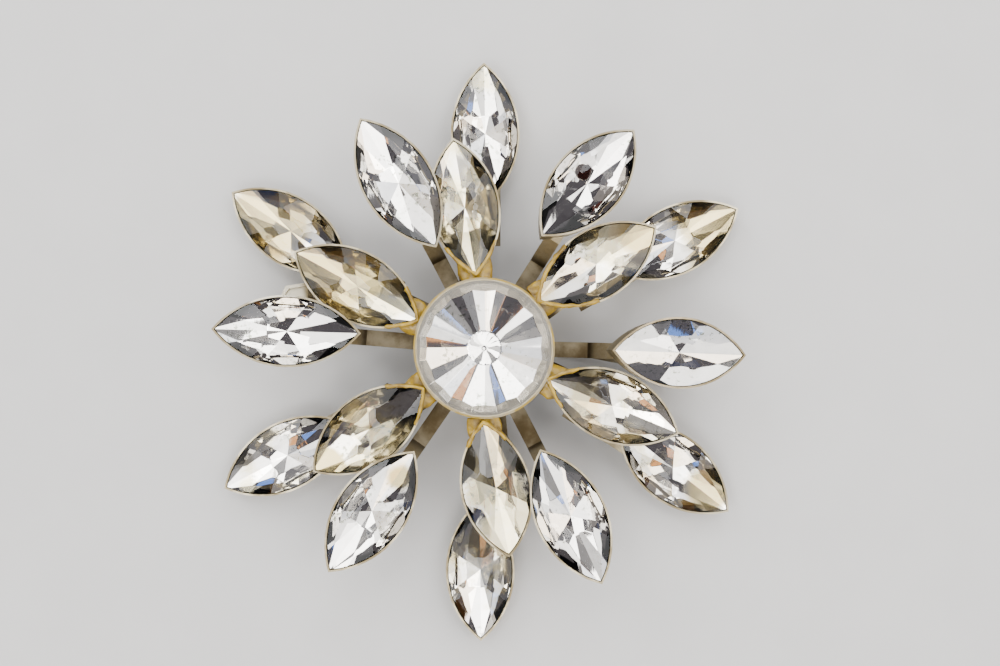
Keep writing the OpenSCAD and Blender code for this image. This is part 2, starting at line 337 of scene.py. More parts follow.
def cut_navette(name):
    """One stone, which lies along X with the middle of its girdle at z = 0."""
    stone = new_blank(name, sides=180, radius=ARC_R, crown=CROWN, pavilion=PAVILION, back=ARC_OFF)
    open_mesh(stone)
    cut_away_half()
    bpy.ops.object.mode_set(mode="OBJECT")
    mirror_half(stone)
    open_mesh(stone)
    # The halves of the flat ends become one face each, so that the wheel cuts them cleanly
    bpy.ops.mesh.dissolve_limited(angle_limit=math.radians(0.2))
    for bearing, edge in TABLE_EDGES:
        grind_from_girdle(bearing, slope_of(CROWN, reach(bearing) - edge))
    for bearing, slope in CROWN_BREAKS:
        grind_from_girdle(bearing, slope)
    for bearing, away, slope in CROWN_STARS:
        for b in four_ways(bearing):
            grind(at_bearing(b, away, GIRDLE + CROWN), b, slope)
    for bearing in KEELS:
        grind_from_girdle(bearing, -slope_of(PAVILION, reach(bearing)))
    for bearing, slope in PAVILION_BREAKS:
        grind_from_girdle(bearing, -slope)
    close_mesh()
    wear_edges(stone, GIRDLE + WEAR_FROM, WEAR_WIDTH)
    sort_faces(stone)
    return stone

pattern = cut_navette("navette_pattern")
print("navette:", len(pattern.data.polygons), "faces,", [round(d / MM, 2) for d in pattern.dimensions], "mm")

# %% [markdown]
# The round stone is cut like a flower: sixteen wedges run out from a small table, and sixteen
# steep facets break the edge between their tips. Below, sixteen more wedges meet at a point,
# turned by half a step. So the two sets of edges cross when seen through the glass, and each
# wedge shows two tones, as in the photo.

# %% Cut the round stone
WEDGES = 16
ROUND_R = 7.15 * MM
ROUND_CROWN, ROUND_PAVILION = 2.5 * MM, 1.2 * MM
ROUND_TABLE_R = 0.12 * MM
SHOULDER_R, SHOULDER_H = 5.95 * MM, 1.0 * MM
# The normals of the steep facets next to the rim rise less than this, and those of the wedges more
RING_BELOW = 0.88
ROUND_WEAR_FROM, ROUND_WEAR_WIDTH = 0.4 * MM, 0.02 * MM

def cut_round_stone(name):
    """The round stone, in its place in the middle cup."""
    step = 360 / WEDGES
    flat = math.cos(math.radians(step / 2))
    wedge_slope = slope_of(ROUND_CROWN - SHOULDER_H, (SHOULDER_R - ROUND_TABLE_R) * flat)
    edge_slope = slope_of(SHOULDER_H, ROUND_R - SHOULDER_R)
    keel_slope = slope_of(ROUND_PAVILION, ROUND_R)
    stone = new_blank(name, sides=128, radius=ROUND_R, crown=ROUND_CROWN, pavilion=ROUND_PAVILION)
    open_mesh(stone)
    for k in range(WEDGES):
        bearing = (k + 0.5) * step
        grind(at_bearing(bearing, ROUND_TABLE_R * flat, GIRDLE + ROUND_CROWN), bearing, wedge_slope)
    for k in range(WEDGES):
        grind(at_bearing(k * step, ROUND_R, GIRDLE), k * step, edge_slope)
    for k in range(WEDGES):
        grind(at_bearing(k * step, ROUND_R, -GIRDLE), k * step, -keel_slope)
    close_mesh()
    wear_edges(stone, GIRDLE + ROUND_WEAR_FROM, ROUND_WEAR_WIDTH)
    sort_faces(stone, RING_BELOW)
    stone.location = (CENTRE.x, CENTRE.y, stone_high[2] - ROUND_CROWN - GIRDLE)
    bake_place(stone)
    return stone

round_stone = cut_round_stone("round_cut_stone")
print("round stone:", len(round_stone.data.polygons), "faces")

# %% [markdown]
# Wear follows the same few rules everywhere: cloudy patches, round spots and fine scratches. Each
# could be built again in every material. Made once as a node group, it is placed where it is
# needed, and the material only says how much of it there is. All of them read object
# coordinates, which here are metres from the middle of the brooch.

# %% Make a node group
FLOAT, VECTOR = "NodeSocketFloat", "NodeSocketVector"

def new_group(name, inputs, output):
    """A shader node group with a Vector input, more inputs with their values, and one output."""
    group = bpy.data.node_groups.new(name, "ShaderNodeTree")
    group.interface.new_socket("Vector", in_out="INPUT", socket_type=VECTOR)
    for label, socket_type, value in inputs:
        socket = group.interface.new_socket(label, in_out="INPUT", socket_type=socket_type)
        socket.default_value = value
    group.interface.new_socket(output, in_out="OUTPUT", socket_type=FLOAT)
    return group, group.nodes.new("NodeGroupInput"), group.nodes.new("NodeGroupOutput")

def node(tree, kind, **settings):
    """A node of this kind, with its settings."""
    made = tree.nodes.new(kind)
    for key, value in settings.items():
        setattr(made, key, value)
    return made

print("groups so far:", len(bpy.data.node_groups))

# %% [markdown]
# Dirt, tarnish and haze lie in clouds with soft edges. A cloud of noise has no edges, so its
# values are cut off between two levels: below the first there is none, and above the second it is
# full. Levels close together give sharp patches, and levels far apart give a mist.

# %% Patches
patches, start, end = new_group("patches", [("Scale", FLOAT, 200.0), ("From", FLOAT, 0.5),
                                            ("To", FLOAT, 0.6)], "Mask")
cloud = node(patches, "ShaderNodeTexNoise")
cloud.inputs["Detail"].default_value = 5.0
cloud.inputs["Roughness"].default_value = 0.6
cut = node(patches, "ShaderNodeMapRange", interpolation_type="SMOOTHSTEP")
patches.links.new(start.outputs["Vector"], cloud.inputs["Vector"])
patches.links.new(start.outputs["Scale"], cloud.inputs["Scale"])
patches.links.new(cloud.outputs["Fac"], cut.inputs["Value"])
patches.links.new(start.outputs["From"], cut.inputs["From Min"])
patches.links.new(start.outputs["To"], cut.inputs["From Max"])
patches.links.new(cut.outputs["Result"], end.inputs["Mask"])
print("patches has", len(patches.nodes), "nodes")

# %% [markdown]
# One stain sits at one place of one stone. The distance from a centre, cut off between two
# radii, gives a round spot, and the height is left out, so that the spot goes right through the
# stone, as it would look from above. Noise pushes each point aside first, because no real stain
# has an edge drawn with a compass.

# %% Spot
# The push goes from nothing to twice this much, so on average the spot moves by this much too,
# and its centre has to allow for that
SPOT_PUSH = 0.5 * MM
spot, start, end = new_group("spot", [("Centre", VECTOR, (0.0, 0.0, 0.0)), ("Radius", FLOAT, 2 * MM),
                                      ("Fade", FLOAT, 1 * MM)], "Mask")
rag = node(spot, "ShaderNodeTexNoise")
rag.inputs["Scale"].default_value = 450.0
rag.inputs["Detail"].default_value = 4.0
push = node(spot, "ShaderNodeVectorMath", operation="MULTIPLY_ADD")
push.inputs[1].default_value = (2 * SPOT_PUSH, 2 * SPOT_PUSH, 0.0)
flatten = node(spot, "ShaderNodeVectorMath", operation="MULTIPLY")
flatten.inputs[1].default_value = (1.0, 1.0, 0.0)
away = node(spot, "ShaderNodeVectorMath", operation="DISTANCE")
rim = node(spot, "ShaderNodeMath", operation="ADD")
cut = node(spot, "ShaderNodeMapRange", interpolation_type="SMOOTHSTEP")
cut.inputs["To Min"].default_value = 1.0
cut.inputs["To Max"].default_value = 0.0
spot.links.new(start.outputs["Vector"], rag.inputs["Vector"])
spot.links.new(rag.outputs["Color"], push.inputs[0])
spot.links.new(start.outputs["Vector"], push.inputs[2])
spot.links.new(push.outputs["Vector"], flatten.inputs[0])
spot.links.new(flatten.outputs["Vector"], away.inputs[0])
spot.links.new(start.outputs["Centre"], away.inputs[1])
spot.links.new(away.outputs["Value"], cut.inputs["Value"])
spot.links.new(start.outputs["Radius"], cut.inputs["From Min"])
spot.links.new(start.outputs["Radius"], rim.inputs[0])
spot.links.new(start.outputs["Fade"], rim.inputs[1])
spot.links.new(rim.outputs["Value"], cut.inputs["From Max"])
spot.links.new(cut.outputs["Result"], end.inputs["Mask"])
print("spot has", len(spot.nodes), "nodes")

# %% [markdown]
# Old glass and metal are covered with fine rubbing marks, nearly all in one direction. Drawn one
# by one they would take thousands of lines. Noise that is drawn out along one direction gives the
# same look, and a bump turns it into grooves that only the light notices.

# %% Scratches
scratches, start, end = new_group("scratches", [("Scale", FLOAT, 1.0)], "Height")
turn = node(scratches, "ShaderNodeMapping")
turn.inputs["Rotation"].default_value = (0.0, 0.0, 0.7)
# Much finer across the scratches than along them
turn.inputs["Scale"].default_value = (3000.0, 250.0, 800.0)
hair = node(scratches, "ShaderNodeTexNoise")
hair.inputs["Detail"].default_value = 3.0
scratches.links.new(start.outputs["Vector"], turn.inputs["Vector"])
scratches.links.new(turn.outputs["Vector"], hair.inputs["Vector"])
scratches.links.new(start.outputs["Scale"], hair.inputs["Scale"])
scratches.links.new(hair.outputs["Fac"], end.inputs["Height"])
print("node groups:", [g.name for g in bpy.data.node_groups])

# %% [markdown]
# A material is a small tree of nodes: masks choose between colours, and all ends in one
# Principled shader. Wired by hand, each tree would be a page long. So a class holds the tree, and
# its methods are the few moves that repeat: drop in a group, blend two colours by a mask, turn a
# mask into a number, combine two masks, and raise a bump.

# %% A material to paint on
class Paint:
    """One material with its Principled shader and its object coordinates."""
    def __init__(self, name):
        self.material = bpy.data.materials.new(name)
        self.material.use_nodes = True
        self.tree = self.material.node_tree
        self.tree.nodes.clear()
        output = self.tree.nodes.new("ShaderNodeOutputMaterial")
        self.shader = self.tree.nodes.new("ShaderNodeBsdfPrincipled")
        self.tree.links.new(self.shader.outputs["BSDF"], output.inputs["Surface"])
        self.place = self.tree.nodes.new("ShaderNodeTexCoord").outputs["Object"]

    def put(self, socket, value):
        """Set an input to a number or colour, or link it to another node."""
        if isinstance(value, bpy.types.NodeSocket):
            self.tree.links.new(value, socket)
        else:
            socket.default_value = value

    def set(self, **inputs):
        """Inputs of the shader by name, with _ for a space."""
        for label, value in inputs.items():
            self.put(self.shader.inputs[label.replace("_", " ")], value)

    def use(self, group, **inputs):
        """Drop in a node group, and give back what it puts out."""
        box = self.tree.nodes.new("ShaderNodeGroup")
        box.node_tree = group
        self.put(box.inputs["Vector"], self.place)
        for label, value in inputs.items():
            self.put(box.inputs[label], value)
        return box.outputs[0]

    def blend(self, mask, first, second):
        """The first colour where the mask is 0, and the second where it is 1."""
        mix = node(self.tree, "ShaderNodeMix", data_type="RGBA")
        # The node has sockets for every kind of data. Inputs 6 and 7 and output 2 are its colours
        self.put(mix.inputs[0], mask)
        self.put(mix.inputs[6], first)
        self.put(mix.inputs[7], second)
        return mix.outputs[2]

    def between(self, mask, low, high):
        """A number that goes from low to high as the mask goes from 0 to 1."""
        scale = node(self.tree, "ShaderNodeMapRange")
        self.put(scale.inputs["Value"], mask)
        scale.inputs["To Min"].default_value = low
        scale.inputs["To Max"].default_value = high
        return scale.outputs["Result"]

    def combine(self, operation, first, second):
        """Two masks or numbers made one, and kept between 0 and 1."""
        result = node(self.tree, "ShaderNodeMath", operation=operation, use_clamp=True)
        self.put(result.inputs[0], first)
        self.put(result.inputs[1], second)
        return result.outputs[0]

    def bump(self, height, distance, strength):
        """Raise the surface by a height for the eye alone."""
        raised = node(self.tree, "ShaderNodeBump")
        raised.inputs["Distance"].default_value = distance
        raised.inputs["Strength"].default_value = strength
        self.put(raised.inputs["Height"], height)
        self.put(self.shader.inputs["Normal"], raised.outputs["Normal"])

print("moves of Paint:", [move for move in vars(Paint) if not move.startswith("_")])

# %% [markdown]
# Two finishes make one stone. The crown is clear glass, which bends light, and a thin film of
# dirt lies on it in patches. Its IOR is a little under that of common glass, so that less light
# is trapped. The inner stones have grown milky and warm, and the ring of steep facets on the
# round stone has gone so dull that it hardly shines. One function makes all three, because they
# differ only in tint, haze and clearness.

# %% Clear, milky and dull glass
GLASS_IOR = 1.42
# How much of the glass's red, green and blue the film of dirt leaves
DIRT_LEAVES = (0.94, 0.93, 0.90)

def make_glass(name, tint, haze, clearest=0.0, clearness=1.0):
    """Haze is how much rougher the film of dirt is, over the roughness of the clearest places."""
    paint = Paint(name)
    film = paint.use(patches, Scale=600.0, From=0.52, To=0.75)
    dirty = (*(t * left for t, left in zip(tint, DIRT_LEAVES)), 1.0)
    paint.set(Base_Color=paint.blend(film, (*tint, 1.0), dirty))
    paint.set(Metallic=0.0, Transmission_Weight=clearness, IOR=GLASS_IOR)
    paint.set(Roughness=paint.between(film, clearest, clearest + haze))
    paint.bump(paint.use(scratches), distance=0.004 * MM, strength=0.08)
    return paint.material

clear_glass = make_glass("clear_glass", (0.99, 0.99, 0.985), haze=0.05)
milky_glass = make_glass("milky_glass", (0.985, 0.955, 0.87), haze=0.16)
dull_glass = make_glass("dull_glass", (0.80, 0.76, 0.66), haze=0.16, clearest=0.12, clearness=0.8)
print("kinds of glass:", clear_glass.name, milky_glass.name, dull_glass.name)

# %% [markdown]
# The pavilion was silvered behind the glass, so its faces are mirrors seen from inside. Glass
# alone can mirror too, but only for light that strikes it at a low angle, while foil holds for
# all. Where damp has reached the silver it has turned tan and hazy. Clouds of noise give most of
# that, and spots are set where the photo shows a stained tip, or the hole where foil has flaked.

# %% Silver foil, and how it ages
BRIGHT, RIPPLED = (0.95, 0.92, 0.87, 1.0), (0.84, 0.81, 0.76, 1.0)
FADED, KHAKI, STAINED = (0.76, 0.69, 0.48, 1.0), (0.50, 0.42, 0.22, 1.0), (0.48, 0.39, 0.20, 1.0)
SPECKLED, DARK_SPOT = (0.36, 0.37, 0.30, 1.0), (0.012, 0.004, 0.003, 1.0)

def make_foil(name, age, marks):
    """Age is the share of tan, 0 to 1. Marks are (x, y, radius, fade, colour) in millimetres."""
    paint = Paint(name)
    cloud = paint.use(patches, Scale=160.0, From=0.62 - 0.25 * age, To=0.74 - 0.25 * age)
    ripple = paint.use(patches, Scale=900.0, From=0.3, To=0.8)
    colour = paint.blend(cloud, paint.blend(ripple, BRIGHT, RIPPLED), FADED)
    specks = paint.use(patches, Scale=2200.0, From=0.56, To=0.61)
    specks = paint.combine("MULTIPLY", specks, paint.use(patches, Scale=210.0, From=0.45, To=0.6))
    colour = paint.blend(specks, colour, SPECKLED)
    haze = cloud
    for x, y, radius, fade, tone in marks:
        centre = (x * MM + SPOT_PUSH, y * MM + SPOT_PUSH, 0.0)
        mark = paint.use(spot, Centre=centre, Radius=radius * MM, Fade=fade * MM)
        colour = paint.blend(mark, colour, tone)
        haze = paint.combine("MAXIMUM", haze, mark)
    paint.set(Base_Color=colour, Metallic=1.0)
    paint.set(Roughness=paint.between(haze, 0.02, 0.10))
    paint.bump(paint.use(scratches, Scale=0.6), distance=0.01 * MM, strength=0.08)
    return paint.material

silver_foil = make_foil("silver_foil", age=0.0, marks=[
    (10.7, 18.8, 0.75, 0.15, DARK_SPOT),
    (-8.5, -13.1, 0.8, 1.0, STAINED),
])
outer_foil = make_foil("outer_foil", age=0.45, marks=[
    (-23.5, 14.7, 3.5, 2.5, STAINED),
    (25.0, 14.7, 2.8, 2.0, STAINED),
    (25.0, -15.3, 1.8, 1.5, STAINED),
])
yellowed_foil = make_foil("yellowed_foil", age=0.8, marks=[
    (-15.2, 8.2, 3.0, 1.5, KHAKI),
    (-11.6, 7.3, 1.0, 0.8, KHAKI),
    (-16.9, -12.3, 2.0, 0.8, KHAKI),
    (-16.7, 9.4, 2.2, 2.5, STAINED),
    (17.0, 12.6, 1.6, 2.0, STAINED),
])
print("kinds of foil:", silver_foil.name, outer_foil.name, yellowed_foil.name)

# %% [markdown]
# In the real brooch each stone was dropped into its cup and glued. Here each copy of the pattern
# is carried to its seat by the matrix that was found from its block, with its place in its own
# mesh. Three stones droop so far that the inner ends of their pavilions would swallow their
# light, so those are pressed flatter: a number under 1 is how much of the height is left.

# %% Lay the stones in their cups
FINISHES = {
    "inner": (milky_glass, yellowed_foil),
    "outer": (clear_glass, outer_foil),
    "between": (clear_glass, silver_foil),
}
SHALLOW = {"between_stone_1": 0.5, "inner_stone_5": 0.7, "inner_stone_1": 0.8}

def copy_of(pattern, name):
    """A copy with its own mesh."""
    piece = pattern.copy()
    piece.data = pattern.data.copy()
    piece.name = name
    bpy.context.scene.collection.objects.link(piece)
    return piece

def dress(stone, finish, node_name):
    """Give a stone its materials, hang it on the brooch's root, and hide the block of the frame that it
    stands for.
    """
    for material in finish:
        stone.data.materials.append(material)
    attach(stone, "root")
    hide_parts(node_name)

dress(round_stone, (clear_glass, silver_foil, dull_glass), "centre_stone")
for node_name, seat in seats.items():
    row = node_name.split("_")[0]
    stone = copy_of(pattern, node_name.replace("stone", "navette"))
    stone.data.transform(seat @ Matrix.Diagonal((1, 1, SHALLOW.get(node_name, 1), 1)))
    dress(stone, FINISHES[row], node_name)
bpy.data.objects.remove(pattern)
print("stones laid:", 1 + len(seats))

# %% [markdown]
# The glue that holds the inner stones has gone golden and dull. It set while it ran, so no part
# of its surface is even. It could be sculpted, but one cloud of noise that pushes a plain shape
# in and out gives the same lumps, and does it to every piece of glue alike. The colour follows
# noise too: light and glossy where the glue is thin, and dark and dull where it is thick.

# %% Old glue, and its lumps
lumps = bpy.data.textures.new("lumps", "CLOUDS")
lumps.noise_scale = 0.9 * MM
THIN_GLUE, THICK_GLUE = (0.40, 0.255, 0.018, 1.0), (0.15, 0.085, 0.004, 1.0)

glue = Paint("old_glue")
clots = glue.use(patches, Scale=900.0, From=0.35, To=0.7)
glue.set(Base_Color=glue.blend(clots, THIN_GLUE, THICK_GLUE))
glue.set(Metallic=0.0, Roughness=glue.between(clots, 0.22, 0.50), Coat_Weight=0.1)
glue.bump(clots, distance=0.02 * MM, strength=0.4)

def shade_round(piece):
    """Let the light run smoothly over the faces."""
    for face in piece.data.polygons:
        face.use_smooth = True

def swell_with_lumps(piece, strength):
    """Push the surface in and out by the noise, by up to half the strength either way."""
    swell = piece.modifiers.new("lumps", "DISPLACE")
    swell.texture = lumps
    swell.texture_coords = "GLOBAL"
    swell.strength = strength
    swell.mid_level = 0.5
    bpy.context.view_layer.objects.active = piece
    bpy.ops.object.modifier_apply(modifier=swell.name)
    shade_round(piece)

def lay_glue(piece, paint):
    """Give a piece of glue its material, and let it move with the brooch."""
    piece.data.materials.append(paint.material)
    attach(piece, "root")

print("lumps of about", round(lumps.noise_scale / MM, 2), "mm on", glue.material.name)

# %% [markdown]
# Where an inner cup meets the round one, glue fills the neck between them and stands out on both
# sides. It is a lens, so a flattened sphere is laid under the stone's tip, and bisect cuts away
# what would reach through the round cup's wall.

# %% A lens of glue at each neck
# Where the round cup's wall stands, from its axis
WALL_R = 7.35 * MM
# Half its length, width and thickness in millimetres, and its place from the tip, inwards and down
LENS_HALF_SIZES = (2.2, 1.9, 0.7)
LENS_IN, LENS_DOWN = 0.8 * MM, 1.35 * MM
LENS_LUMPS = 0.5 * MM

def make_lens(name):
    """A lens at the -X tip of a stone that lies along X."""
    bpy.ops.object.select_all(action="DESELECT")
    bpy.ops.mesh.primitive_uv_sphere_add(segments=40, ring_count=24, radius=1 * MM)
    bpy.context.object.scale = LENS_HALF_SIZES
    bpy.context.object.location = (LENS_IN - HALF_L, 0, -LENS_DOWN)
    return take_new(name)

def lay_lens(k, lens_pattern):
    """A copy of the lens below an inner stone, cut off at the round cup's wall."""
    seat = seats["inner_stone_%d" % k]
    lens = copy_of(lens_pattern, "glue_blob_%d" % k)
    lens.data.transform(seat)
    out = (seat.translation - CENTRE).to_2d().normalized().to_3d()
    open_mesh(lens)
    bpy.ops.mesh.bisect(plane_co=CENTRE + out * WALL_R, plane_no=out, use_fill=True, clear_inner=True,
                        threshold=ON_PLANE)
    close_mesh()
    return lens

lens_pattern = make_lens("lens_pattern")
for k in range(1, 7):
    lens = lay_lens(k, lens_pattern)
    swell_with_lumps(lens, LENS_LUMPS)
    lay_glue(lens, glue)
bpy.data.objects.remove(lens_pattern)
print("the last lens has", len(lens.data.polygons), "faces")

# %% [markdown]
# Glue also shows as a golden bead round the inner tip of each inner stone. A curve could be drawn
# along the outline, but the outline is two arcs, so a thin torus of the same radius follows it
# exactly. Two cuts leave the piece near the tip, and a mirror gives the other side. How far the
# bead runs back along the stone differs from cup to cup, as the photo shows.

# %% A bead of glue round each inner tip
# Its radius, and how far it lies outside the stone's outline and over its girdle
BEAD_R, BEAD_OUT, BEAD_UP = 0.2 * MM, 0.12 * MM, 0.12 * MM
BEAD_LUMPS = 0.4 * MM
# How far it runs along each inner stone, in millimetres
BEAD_RUNS = {1: 5.5, 2: 3.2, 3: 2.6, 4: 3.0, 5: 2.2, 6: 2.4}

def make_bead(name, run):
    """A bead on both sides of the -X tip, for a length of run along the stone."""
    bpy.ops.object.select_all(action="DESELECT")
    bpy.ops.mesh.primitive_torus_add(major_radius=ARC_R + BEAD_OUT, minor_radius=BEAD_R, major_segments=256,
                                     minor_segments=10, location=(0, -ARC_OFF, BEAD_UP))
    bead = take_new(name)
    open_mesh(bead)
    cut_away_half()
    bpy.ops.mesh.select_all(action="SELECT")
    bpy.ops.mesh.bisect(plane_co=(run - HALF_L, 0, 0), plane_no=(1, 0, 0), use_fill=True, clear_outer=True,
                        threshold=ON_PLANE)
    bpy.ops.object.mode_set(mode="OBJECT")
    mirror_half(bead)
    open_mesh(bead)
    close_mesh()
    return bead

for k, run in BEAD_RUNS.items():
    bead = make_bead("glue_bead_%d" % k, run * MM)
    bead.data.transform(seats["inner_stone_%d" % k])
    swell_with_lumps(bead, BEAD_LUMPS)
    lay_glue(bead, glue)
print("glue beads:", len(BEAD_RUNS))

# %% [markdown]
# Round the round stone the glue is only a thread in the gap between girdle and wall. It is paler
# than at the necks, because light passes through so thin a run, and it has clouded. The gap is
# a circle, so a thin torus fits it as it is, and noise in the material breaks up its colour.

# %% A thread of glue round the round stone
# Its radius, and how far it lies outside the stone's outline
THREAD_R, THREAD_OUT = 0.09 * MM, 0.04 * MM
girdle_z = stone_high[2] - ROUND_CROWN
bpy.ops.object.select_all(action="DESELECT")
bpy.ops.mesh.primitive_torus_add(major_radius=ROUND_R + THREAD_OUT, minor_radius=THREAD_R, major_segments=160,
                                 minor_segments=10, location=(CENTRE.x, CENTRE.y, girdle_z))
thread = take_new("glue_thread")
shade_round(thread)

clouded = Paint("clouded_glue")
film = clouded.use(patches, Scale=700.0, From=0.35, To=0.7)
clouded.set(Base_Color=clouded.blend(film, (0.42, 0.36, 0.23, 1.0), (0.28, 0.22, 0.11, 1.0)))
clouded.set(Metallic=0.0, Roughness=clouded.between(film, 0.15, 0.35), Coat_Weight=0.3)
clouded.bump(film, distance=0.04 * MM, strength=0.5)
lay_glue(thread, clouded)
print("thread of glue at", round(girdle_z / MM, 2), "mm")

# %% [markdown]
# The metal was plated once and is now a dull champagne gold. The arms that lie low in the middle
# are painted brown, partly for tarnish and partly as painted shade, where shade falls on them. The
# glue has stained the walls of the inner cups, and a pale painted highlight lies on the catch.
# These marks could be painted by hand on a flattened copy of the surface. The distance from the
# middle and the height tell the places apart as well, with nothing to flatten.

# %% Where on the brooch
def radius_and_height(paint):
    """How far a point lies from the round stone's axis, and how high over the table."""
    offset = node(paint.tree, "ShaderNodeVectorMath", operation="SUBTRACT")
    offset.inputs[1].default_value = CENTRE
    level = node(paint.tree, "ShaderNodeVectorMath", operation="MULTIPLY")
    level.inputs[1].default_value = (1.0, 1.0, 0.0)
    length = node(paint.tree, "ShaderNodeVectorMath", operation="LENGTH")
    split = node(paint.tree, "ShaderNodeSeparateXYZ")
    paint.put(offset.inputs[0], paint.place)
    paint.put(level.inputs[0], offset.outputs[0])
    paint.put(length.inputs[0], level.outputs[0])
    paint.put(split.inputs[0], paint.place)
    return length.outputs["Value"], split.outputs["Z"]

def fade_in(paint, value, none_at, full_at):
    """A soft mask that is 0 at one length and 1 at the other, in millimetres, on either side."""
    ramp = node(paint.tree, "ShaderNodeMapRange", interpolation_type="SMOOTHSTEP")
    paint.put(ramp.inputs["Value"], value)
    ramp.inputs["From Min"].default_value = none_at * MM
    ramp.inputs["From Max"].default_value = full_at * MM
    return ramp.outputs["Result"]

# Each pair says where a mark isn't seen yet, and where it is full
# The first two pairs place the brown that is painted shade together with tarnish, low in the middle
SHADE_AND_TARNISH_RADIUS, SHADE_AND_TARNISH_HEIGHT = (19.0, 15.0), (8.0, 6.9)
SMEAR_OUTER, SMEAR_INNER, SMEAR_HEIGHT = (12.5, 8.5), (6.6, 7.4), (7.4, 8.4)
print("tarnish lies within", SHADE_AND_TARNISH_RADIUS[0], "mm of the axis, and the smear within", SMEAR_OUTER[0], "mm")

# %% [markdown]
# Three marks lie on the plate, each blended over what is below it: brown, which is painted shade
# low in the middle together with tarnish, with thin tarnish everywhere else; the gold stain of the
# glue; and a painted highlight on the catch. The stain also makes the plate less metallic, because
# it is glue and not metal. One function makes both metals, since the pin is the same plate with
# little tarnish and painted shade, and no stain.

# %% Old plated metal
# The brown stands for painted shade on the low arms, mixed with their tarnish
PALE, CHAMPAGNE, SHADE_AND_TARNISH_BROWN = (0.50, 0.44, 0.31, 1.0), (0.25, 0.20, 0.11, 1.0), (0.042, 0.029, 0.013, 1.0)
# The pale colour at the catch is a painted highlight
GOLD_STAIN, CATCH_HIGHLIGHT = (0.30, 0.20, 0.025, 1.0), (0.66, 0.61, 0.48, 1.0)
CATCH = (-21.5 * MM, 6.6 * MM, 0.0)
# The thin tarnish that lies everywhere
THIN_TARNISH = 0.12

def make_metal(name, tarnish_and_shade, stained):
    """How far each mark has gone, from 0 to 1: first the tarnish with the painted shade low in the middle,
    then the glue's stain.
    """
    paint = Paint(name)
    radius, height = radius_and_height(paint)
    cloud = paint.use(patches, Scale=260.0, From=0.35, To=0.65)
    colour = paint.blend(cloud, PALE, CHAMPAGNE)

    # Painted shade together with tarnish: full low in the middle, and thin tarnish everywhere else
    middle = fade_in(paint, radius, *SHADE_AND_TARNISH_RADIUS)
    low_middle = paint.combine("MULTIPLY", middle, fade_in(paint, height, *SHADE_AND_TARNISH_HEIGHT))
    dull = paint.combine("MULTIPLY", paint.combine("ADD", low_middle, THIN_TARNISH), tarnish_and_shade)
    dull = paint.combine("MULTIPLY", dull, paint.between(cloud, 0.8, 1.0))
    colour = paint.blend(dull, colour, SHADE_AND_TARNISH_BROWN)

    neck = fade_in(paint, radius, *SMEAR_OUTER)
    neck = paint.combine("MULTIPLY", neck, fade_in(paint, radius, *SMEAR_INNER))
    neck = paint.combine("MULTIPLY", neck, fade_in(paint, height, *SMEAR_HEIGHT))
    smear = paint.combine("MULTIPLY", neck, stained)
    smear = paint.combine("MULTIPLY", smear, paint.use(patches, Scale=420.0, From=0.36, To=0.58))
    colour = paint.blend(smear, colour, GOLD_STAIN)

    # A painted highlight on the catch, as a round pale spot
    catch_highlight = paint.use(spot, Centre=CATCH, Radius=2.2 * MM, Fade=0.8 * MM)
    paint.set(Base_Color=paint.blend(catch_highlight, colour, CATCH_HIGHLIGHT), Metallic=paint.between(smear, 0.95, 0.3))
    paint.set(Roughness=paint.between(paint.combine("ADD", dull, cloud), 0.26, 0.5))
    paint.bump(paint.use(scratches), distance=0.02 * MM, strength=0.35)
    return paint.material

METALS = {
    "mounting": make_metal("old_plate", tarnish_and_shade=1.0, stained=1.0),
    "pin_stem": make_metal("pin_plate", tarnish_and_shade=0.2, stained=0.0),
}
for node_name, metal in METALS.items():
    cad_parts[node_name].data.materials.clear()
    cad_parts[node_name].data.materials.append(metal)
    print(node_name, "is", metal.name)

# %% [markdown]
# The brooch lies on a plain pale table. A polished one would mirror the stones and compete with
# them, and a flat single grey would look like no real thing. So the table is matt like a sheet of
# good paper, with a grain that can just be seen.

# %% Table
TABLE_R = 420 * MM
bpy.ops.object.select_all(action="DESELECT")
bpy.ops.mesh.primitive_circle_add(vertices=128, radius=TABLE_R, fill_type="NGON", location=(0, 0, 0))
table_top = bpy.context.object
table_top.name = "table_top"
paper = Paint("pale_table")
grain = paper.use(patches, Scale=90.0, From=0.3, To=0.7)
paper.set(Base_Color=paper.blend(grain, (0.56, 0.555, 0.545, 1.0), (0.54, 0.535, 0.525, 1.0)), Roughness=0.8)
table_top.data.materials.append(paper.material)
print("table:", round(table_top.dimensions.x / MM), "mm across")

# %% [markdown]
# Cut glass shows what it reflects. Under one big soft lamp every facet would be white, and the
# stones would look like plaster. So the lamps are panels that stand round the table with dark
# room between them, and each facet picks out either a panel or the dark. Each wedge of the round
# stone shows the side that lies opposite to it, which tells where a panel has to be dim.

# %% A soft panel
LAMP_AWAY = 500 * MM
# How bright a panel of level 1 looks
PANEL_LIGHT = 6.0

def add_panel(name, bearing, elevation, wide, high, level, colour):
    """A soft panel that faces the brooch. Its size is given in degrees, as the brooch sees it."""
    b, e = math.radians(bearing), math.radians(elevation)
    place = Vector((math.cos(b) * math.cos(e), math.sin(b) * math.cos(e), math.sin(e))) * LAMP_AWAY
    data = bpy.data.lights.new(name, "AREA")
    data.shape = "RECTANGLE"
    data.size = 2 * LAMP_AWAY * math.tan(math.radians(wide / 2))
    data.size_y = 2 * LAMP_AWAY * math.tan(math.radians(high / 2))
    # A lamp's power is spread over its face, so a larger panel needs more to look as bright
    data.energy = PANEL_LIGHT * level * math.pi * data.size * data.size_y
    data.color = colour
    lamp = bpy.data.objects.new(name, data)
    lamp.location = place
    lamp.rotation_euler = (-place).to_track_quat("-Z", "Y").to_euler()
    bpy.context.scene.collection.objects.link(lamp)

print("panels stand", round(LAMP_AWAY / MM), "mm away")

